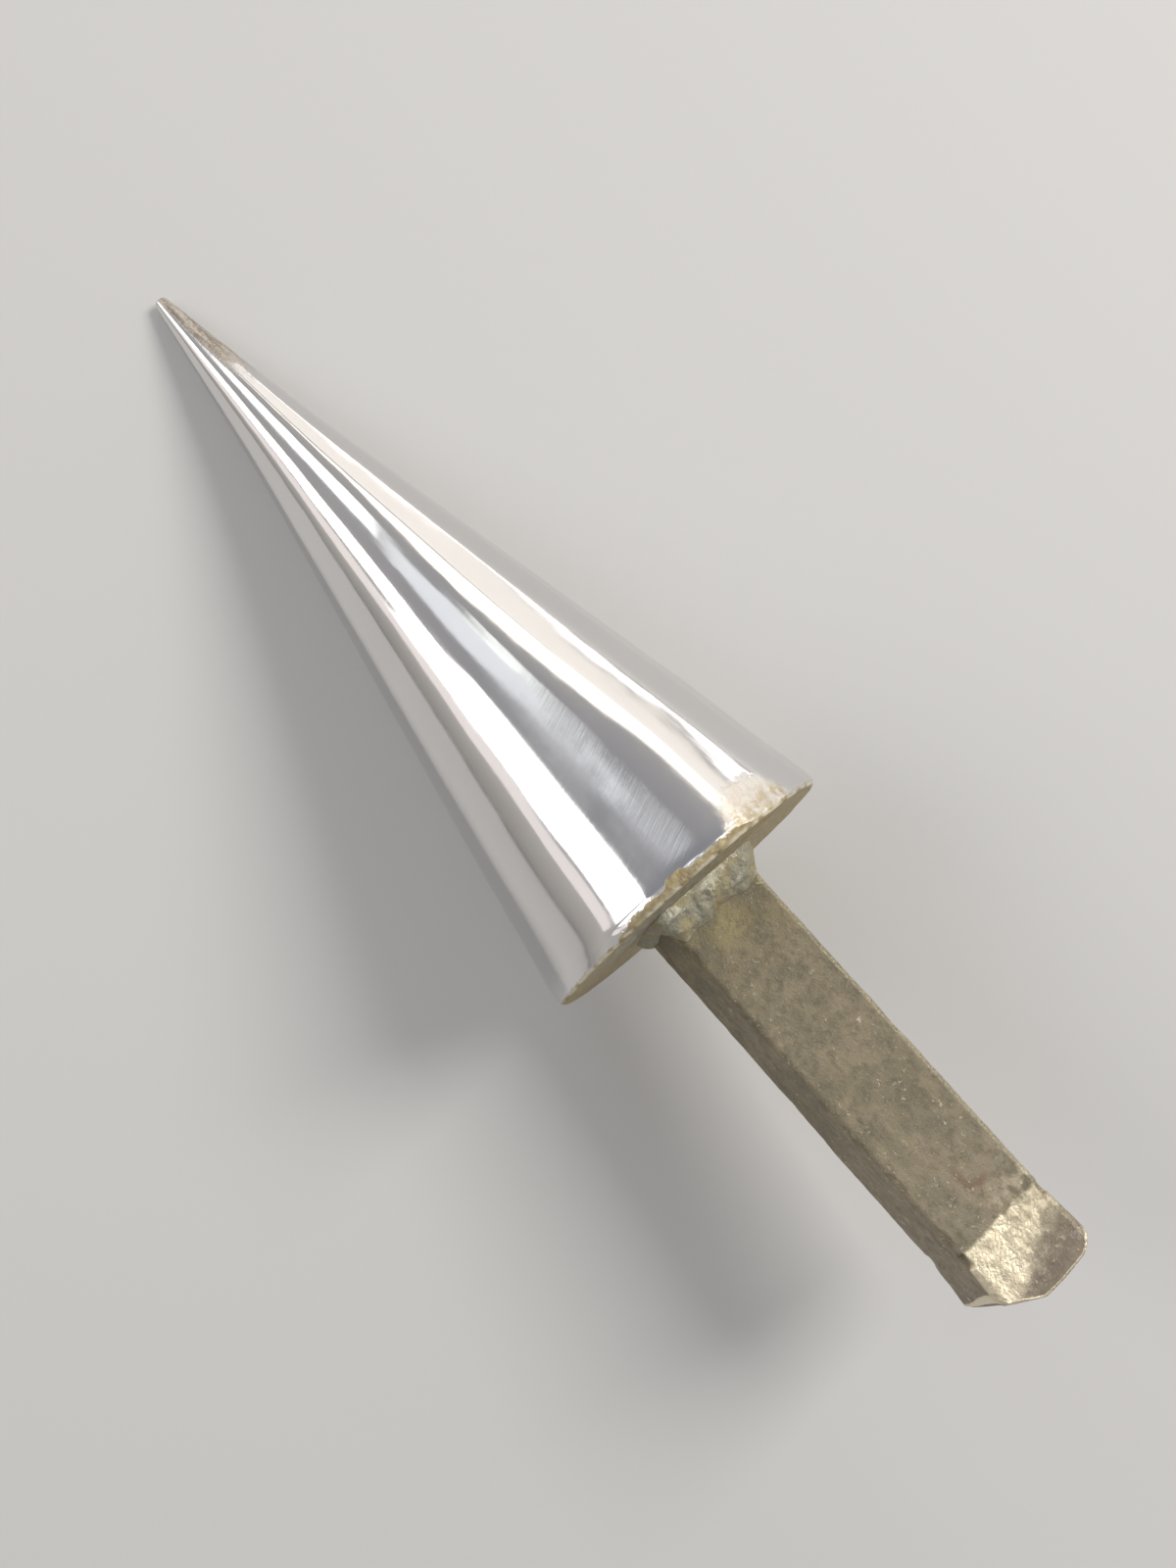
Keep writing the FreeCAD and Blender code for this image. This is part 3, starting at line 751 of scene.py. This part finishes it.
class MANDREL_OT_root_weld(bpy.types.Operator):
    """Lumpy weld bead round the shank"""
    bl_idname = "mandrel.root_weld"
    bl_label = "Root Weld"

    def execute(self, context):
        sizes = plain_sizes(context.scene)
        half = sizes.shank_width / 2
        leg = sizes.bead_leg
        count = 520
        inner = square_ring(half, sizes.shank_corner, count)
        outward = ring_normals(inner)
        path = np.cumsum(np.linalg.norm(inner - np.roll(inner, 1, axis=0), axis=1))
        faces_up = np.clip(outward[:, 0], 0, 1)
        rows = []
        wear = []
        for part in np.linspace(0, 1, 26):
            turn = part * math.pi / 2
            uneven = lattice_noise(np.column_stack([inner, np.zeros(count)]), 3.6, 47)
            across = leg * (0.5 + 0.35 * faces_up) * math.cos(turn) ** 1.3
            down = leg * (0.6 + 0.9 * faces_up) * (1 + 0.16 * uneven) * math.sin(turn) ** 1.3
            ring = np.column_stack([inner + outward * across[:, None], -down])
            swell = math.sin(part * math.pi)
            ripple = np.sin(path * math.pi / 3.1 + 1.5 * part) ** 2
            lumps = layered_noise(ring * (1, 1, 1.5), 2.6, 43, 4)
            lift = swell * (0.22 * ripple + (0.5 + 0.3 * faces_up) * lumps - 0.25)
            ring[:, :2] += outward * (lift * math.cos(turn))[:, None]
            ring[:, 2] -= lift * math.sin(turn)
            rows.append(ring)
            # Painted highlight on the upward-facing crests and toes of the bead.
            toes = smooth_step(abs(part - 0.5), 0.1, 0.4)
            wear.append(smooth_step(lumps + 0.25 * toes, 0.0, 0.6) * faces_up)
        sunk = [
            np.column_stack([inner, np.full(count, 1.0)]),
            np.column_stack([inner + outward * leg * 0.5, np.full(count, 1.0)]),
        ]
        rows = np.array([sunk[1]] + rows + [sunk[0], sunk[1]])
        wear = np.array([np.zeros(count)] + wear + [np.zeros(count)] * 2)
        rows = rolled(rows, sizes.shank_roll)
        mesh = rows_mesh("dressed_root_weld", rows, (False, False), wear)
        place_piece(mesh, "root_weld", "weld_bead", bead_finish(context.scene.mandrel_colours))
        return {"FINISHED"}


def square_ring(half, corner, count):
    """Points evenly spaced round a square with rounded corners, from the middle of its +x side."""
    straight = half - corner
    quarter = 2 * straight + corner * math.pi / 2
    at = np.arange(count) * 4 * quarter / count
    side = np.floor((at + straight) / quarter).astype(int) % 4
    along = (at + straight) % quarter
    on_arc = np.clip((along - 2 * straight) / corner, 0, None)
    x = np.where(on_arc > 0, straight + corner * np.cos(on_arc), half)
    y = np.where(on_arc > 0, straight + corner * np.sin(on_arc), along - straight)
    turn = side * math.pi / 2
    cos, sin = np.cos(turn), np.sin(turn)
    return np.column_stack([x * cos - y * sin, x * sin + y * cos])


def ring_normals(ring):
    tangent = np.roll(ring, -1, axis=0) - np.roll(ring, 1, axis=0)
    tangent /= np.linalg.norm(tangent, axis=1)[:, None]
    return np.column_stack([tangent[:, 1], -tangent[:, 0]])


def rolled(rows, degrees):
    """The rings turned about the tool's axis."""
    spin = Matrix.Rotation(math.radians(degrees), 3, "Z")
    return rows @ np.array(spin).T


class MANDREL_OT_shank(bpy.types.Operator):
    """Forged square shank with its nick and hammered end"""
    bl_idname = "mandrel.shank"
    bl_label = "Hardy Shank"

    def execute(self, context):
        sizes = plain_sizes(context.scene)
        count = 300
        ring = square_ring(sizes.shank_width / 2, sizes.shank_corner, count)
        outward = ring_normals(ring)
        length = self.end_height(sizes, ring)
        rings = 260
        rows = []
        wear = []
        for part in np.linspace(0, 1, rings):
            z = -part * length
            past_nick = (sizes.end_length - sizes.shank_length - z) / sizes.end_length
            here = ring + outward * (sizes.end_spread * np.clip(past_nick, 0, 1))[:, None]
            rows.append(np.column_stack([here, z]))
            wear.append(self.edge_wear(sizes, ring, z, length))
        last = rows[-1]
        for share in (0.985, 0.96, 0.92, 0.86, 0.78, 0.68, 0.56, 0.42, 0.26, 0.1):
            here = last[:, :2] * share
            edge = 0.55 * (share - 0.9) ** 2 / 0.01 if share > 0.9 else 0.0
            rows.append(np.column_stack([here, -self.end_height(sizes, here / 1.08) + edge]))
            # The end's rim and face painted lighter: partly rubbed steel, partly a painted
            # highlight.
            wear.append(np.full(count, 1.0 if share > 0.95 else 0.25))
        rows = np.array(rows)
        rows[:rings] = self.hammered(sizes, rows[:rings], outward)
        rows = rolled(rows, sizes.shank_roll)
        mesh = rows_mesh("dressed_hardy_shank", rows, (True, True), np.array(wear))
        paint = shank_finish(context.scene.mandrel_colours, sizes.shank_roll)
        place_piece(mesh, "hardy_shank", "forge_scale", paint)
        return {"FINISHED"}

    @staticmethod
    def end_height(sizes, points):
        """How far down the end reaches at points across it: one corner is hammered to a rounded
        bevel, most on the upward side, and the other just rounded."""
        up, across = points.T
        reach = sizes.shank_width / 2
        crown = sizes.shank_length - 0.9 * (np.abs(across) / reach) ** 1.6
        bevel = 0.52 * np.clip(-across - 4.0, 0, None) + 1.5 * np.clip(-across - 10.9, 0, None)
        bevel = bevel * (0.45 + 0.55 * smooth_step(up, -reach, reach))
        rounded = np.clip(across - (reach - 5.0), 0, 5.0) / 5.0
        return crown - bevel - 5.0 * (1 - np.sqrt(1 - 0.98 * rounded**2))

    @staticmethod
    def edge_wear(sizes, ring, z, length):
        """Bright rubbing along the corners and the rim of the end: partly rubbed steel, partly a
        painted highlight, stronger on the corners of the +y side, towards the lights.
        """
        corner = np.abs(ring).min(axis=1) / (sizes.shank_width / 2 - sizes.shank_corner)
        along_corner = smooth_step(corner, 0.93, 1.02) * np.where(ring[:, 1] > 0, 0.58, 0.42)
        rim = smooth_step(length + z, 1.0, 0.15)
        return np.maximum(along_corner, rim)

    @staticmethod
    def hammered(sizes, rows, outward):
        """Forge scale's unevenness, chipped corners and the nick."""
        big = layered_noise(rows, 17.0, 21, 2) * 0.28
        pits = np.clip(layered_noise(rows, 2.3, 23, 3) - 0.25, 0, None) * 0.45
        fine = layered_noise(rows, 3.4, 27, 3) * 0.16
        height = rows[..., 2] + sizes.shank_length - sizes.end_length
        nick = smooth_step(np.abs(height - 0.1 + 0.35 * lattice_noise(rows, 4.0, 33)), 2.0, 1.1)
        at_corner = smooth_step(np.abs(outward).min(axis=1), 0.05, 0.3)
        chips = np.clip(layered_noise(rows, 4.0, 37, 2) - 0.30, 0, None) * at_corner
        by_notch = at_corner * (outward.min(axis=1) > 0)
        notch = (0.2 + 0.8 * at_corner + 1.5 * by_notch) * nick
        out = big + fine - pits - 0.12 - notch - chips * 1.6
        fade = smooth_step(-rows[..., 2], 0, 3)
        rows[..., :2] += outward[None] * (out * fade)[..., None]
        return rows


# Stage


def strip_light(name, azimuth_x, tilt, distance, length, width, radiance, colour, slant=0):
    """Rectangular light that faces the tool. Its middle is tilt degrees from overhead, towards +y,
    and azimuth_x degrees towards the tip; its length runs along the tool, slant degrees off."""
    psi, alpha = math.radians(azimuth_x), math.radians(tilt)
    sin_psi, cos_psi = math.sin(psi), math.cos(psi)
    middle = Vector((-sin_psi, cos_psi * math.sin(alpha), cos_psi * math.cos(alpha)))
    along = Vector((-cos_psi, -sin_psi * math.sin(alpha), -sin_psi * math.cos(alpha)))
    data = bpy.data.lights.new(name, "AREA")
    data.shape = "RECTANGLE"
    data.size = length
    data.size_y = width
    data.energy = radiance * length * width * math.pi
    data.color = colour
    light = bpy.data.objects.new(name, data)
    turned = Matrix((along, middle.cross(along), middle)).transposed().to_4x4()
    turned.translation = middle * distance
    light.matrix_world = turned @ Matrix.Rotation(math.radians(slant), 4, "Z")
    light.visible_camera = False
    bpy.context.scene.collection.objects.link(light)
    return light


class MANDREL_OT_stage(bpy.types.Operator):
    """Pale floor, studio lights and the camera"""
    bl_idname = "mandrel.stage"
    bl_label = "Stage"

    def execute(self, context):
        stage = context.scene.mandrel_stage
        self.make_floor(stage)
        self.make_world(context.scene)
        bright = stage.strip_radiance
        strip_light("left_window", 35, -41, 1.6, 0.74, 0.79, bright, (1.0, 0.985, 0.97))
        strip_light("left_window_far", 59, -43, 1.6, 0.62, 0.36, bright, (1.0, 0.985, 0.97))
        strip_light("left_glow", 42, -64.5, 1.6, 1.2, 0.24, bright * 0.24, (1.0, 0.90, 0.88))
        strip_light("right_window", 38.5, 61, 1.8, 1.07, 0.46, bright * 0.62, (1.0, 0.96, 0.85), 26)
        strip_light("wall_glow", 36, 80, 2.3, 1.4, 0.42, 0.80, (1.0, 0.94, 0.87))
        strip_light("low_window", 35, 88.1, 2.2, 1.7, 0.08, bright * 0.9, (1.0, 0.97, 0.97))
        strip_light("near_scrim", 44, 6, 1.6, 0.62, 0.22, 0.72, (0.92, 0.96, 1.0))
        strip_light("far_scrim", 58.8, 12, 1.6, 0.17, 0.22, 1.6, (0.95, 0.98, 1.0))
        strip_light("side_scrim", 46.5, 15, 1.5, 0.14, 0.15, 1.05, (0.94, 1.0, 0.95))
        strip_light("key", -6, 47, 1.6, 0.6, 0.6, stage.key_radiance, (1.0, 0.985, 0.96))
        self.make_camera(context.scene, stage)
        context.scene.view_settings.view_transform = "Standard"
        return {"FINISHED"}

    @staticmethod
    def make_floor(stage):
        mesh = bpy.data.meshes.new("floor")
        reach = 6
        corners = [(-reach, -reach, 0), (reach, -reach, 0), (reach, reach, 0), (-reach, reach, 0)]
        mesh.from_pydata(corners, [], [(0, 1, 2, 3)])
        material = bpy.data.materials.new("floor")
        material.use_nodes = True
        tree = Tree(material.node_tree)
        finish = {
            "Base Color": (*stage.floor, 1.0), "Roughness": 0.9, "Specular IOR Level": 0.2,
        }
        shader = tree.add("BsdfPrincipled", {}, finish, output="BSDF")
        tree.add("OutputMaterial", {}, {"Surface": shader})
        mesh.materials.append(material)
        floor = bpy.data.objects.new("floor", mesh)
        bpy.context.scene.collection.objects.link(floor)

    @staticmethod
    def make_world(scene):
        """Pale near the horizon and dim overhead, like a room above a bench."""
        world = bpy.data.worlds.new("studio")
        scene.world = world
        world.use_nodes = True
        tree = Tree(world.node_tree)
        direction = tree.add("TexCoord", {}, {}, output="Generated")
        height = tree.add("SeparateXYZ", {}, {0: direction}, output="Z")
        stops = (
            (0.0, (0.36, 0.34, 0.315)), (0.08, (0.43, 0.41, 0.385)), (0.25, (0.54, 0.515, 0.49)),
            (0.5, (0.45, 0.44, 0.44)), (0.75, (0.34, 0.34, 0.36)), (1.0, (0.27, 0.28, 0.31)),
        )
        sky = tree.add("ValToRGB", {"stops": stops}, {0: height}, output="Color")
        back = tree.add("Background", {}, {"Color": sky, "Strength": 1.0})
        tree.add("OutputWorld", {}, {"Surface": back})

    @staticmethod
    def make_camera(scene, stage):
        """Camera where the photograph was taken: almost straight above, the tip upper left."""
        view = Vector((0.01464, 0.0533, -0.99847)).normalized()
        up = Vector((-0.75217, 0.65852, 0.02413)).normalized()
        right = view.cross(up).normalized()
        data = bpy.data.cameras.new("camera")
        data.sensor_width = 36
        data.lens = 36 * stage.focal_pixels / 1600
        data.clip_start = 0.01
        camera = bpy.data.objects.new("camera", data)
        turned = Matrix((right, right.cross(view), -view)).transposed().to_4x4()
        turned.translation = Vector((0.00328, -0.0186, 0.37117))
        camera.matrix_world = turned
        scene.collection.objects.link(camera)
        scene.camera = camera


class MANDREL_PT_panel(bpy.types.Panel):
    """Sidebar panel that lists the mandrel's pieces"""
    bl_idname = "MANDREL_PT_panel"
    bl_label = "Cone Mandrel"
    bl_space_type = "VIEW_3D"
    bl_region_type = "UI"
    bl_category = "Mandrel"

    def draw(self, context):
        for operator in OPERATORS:
            self.layout.operator(operator.bl_idname)
        for name in GROUPS:
            self.layout.label(text=name.replace("_", " ").capitalize())
            group = getattr(context.scene, name)
            for field in group.__annotations__:
                self.layout.prop(group, field)


OPERATORS = (
    MANDREL_OT_stage, MANDREL_OT_cone, MANDREL_OT_seam, MANDREL_OT_plate,
    MANDREL_OT_root_weld, MANDREL_OT_shank,
)
GROUPS = {
    "mandrel_sizes": MandrelSizes,
    "mandrel_colours": MandrelColours,
    "mandrel_stage": MandrelStage,
}


def register():
    for group in GROUPS.values():
        bpy.utils.register_class(group)
    for name, group in GROUPS.items():
        setattr(bpy.types.Scene, name, PointerProperty(type=group))
    for operator in OPERATORS:
        bpy.utils.register_class(operator)
    bpy.utils.register_class(MANDREL_PT_panel)


def unregister():
    bpy.utils.unregister_class(MANDREL_PT_panel)
    for operator in reversed(OPERATORS):
        bpy.utils.unregister_class(operator)
    for name in GROUPS:
        delattr(bpy.types.Scene, name)
    for group in reversed(GROUPS.values()):
        bpy.utils.unregister_class(group)


def main():
    register()
    bpy.ops.mandrel.stage()
    bpy.ops.mandrel.cone()
    bpy.ops.mandrel.seam()
    bpy.ops.mandrel.plate()
    bpy.ops.mandrel.root_weld()
    bpy.ops.mandrel.shank()


if __name__ == "__main__":
    main()
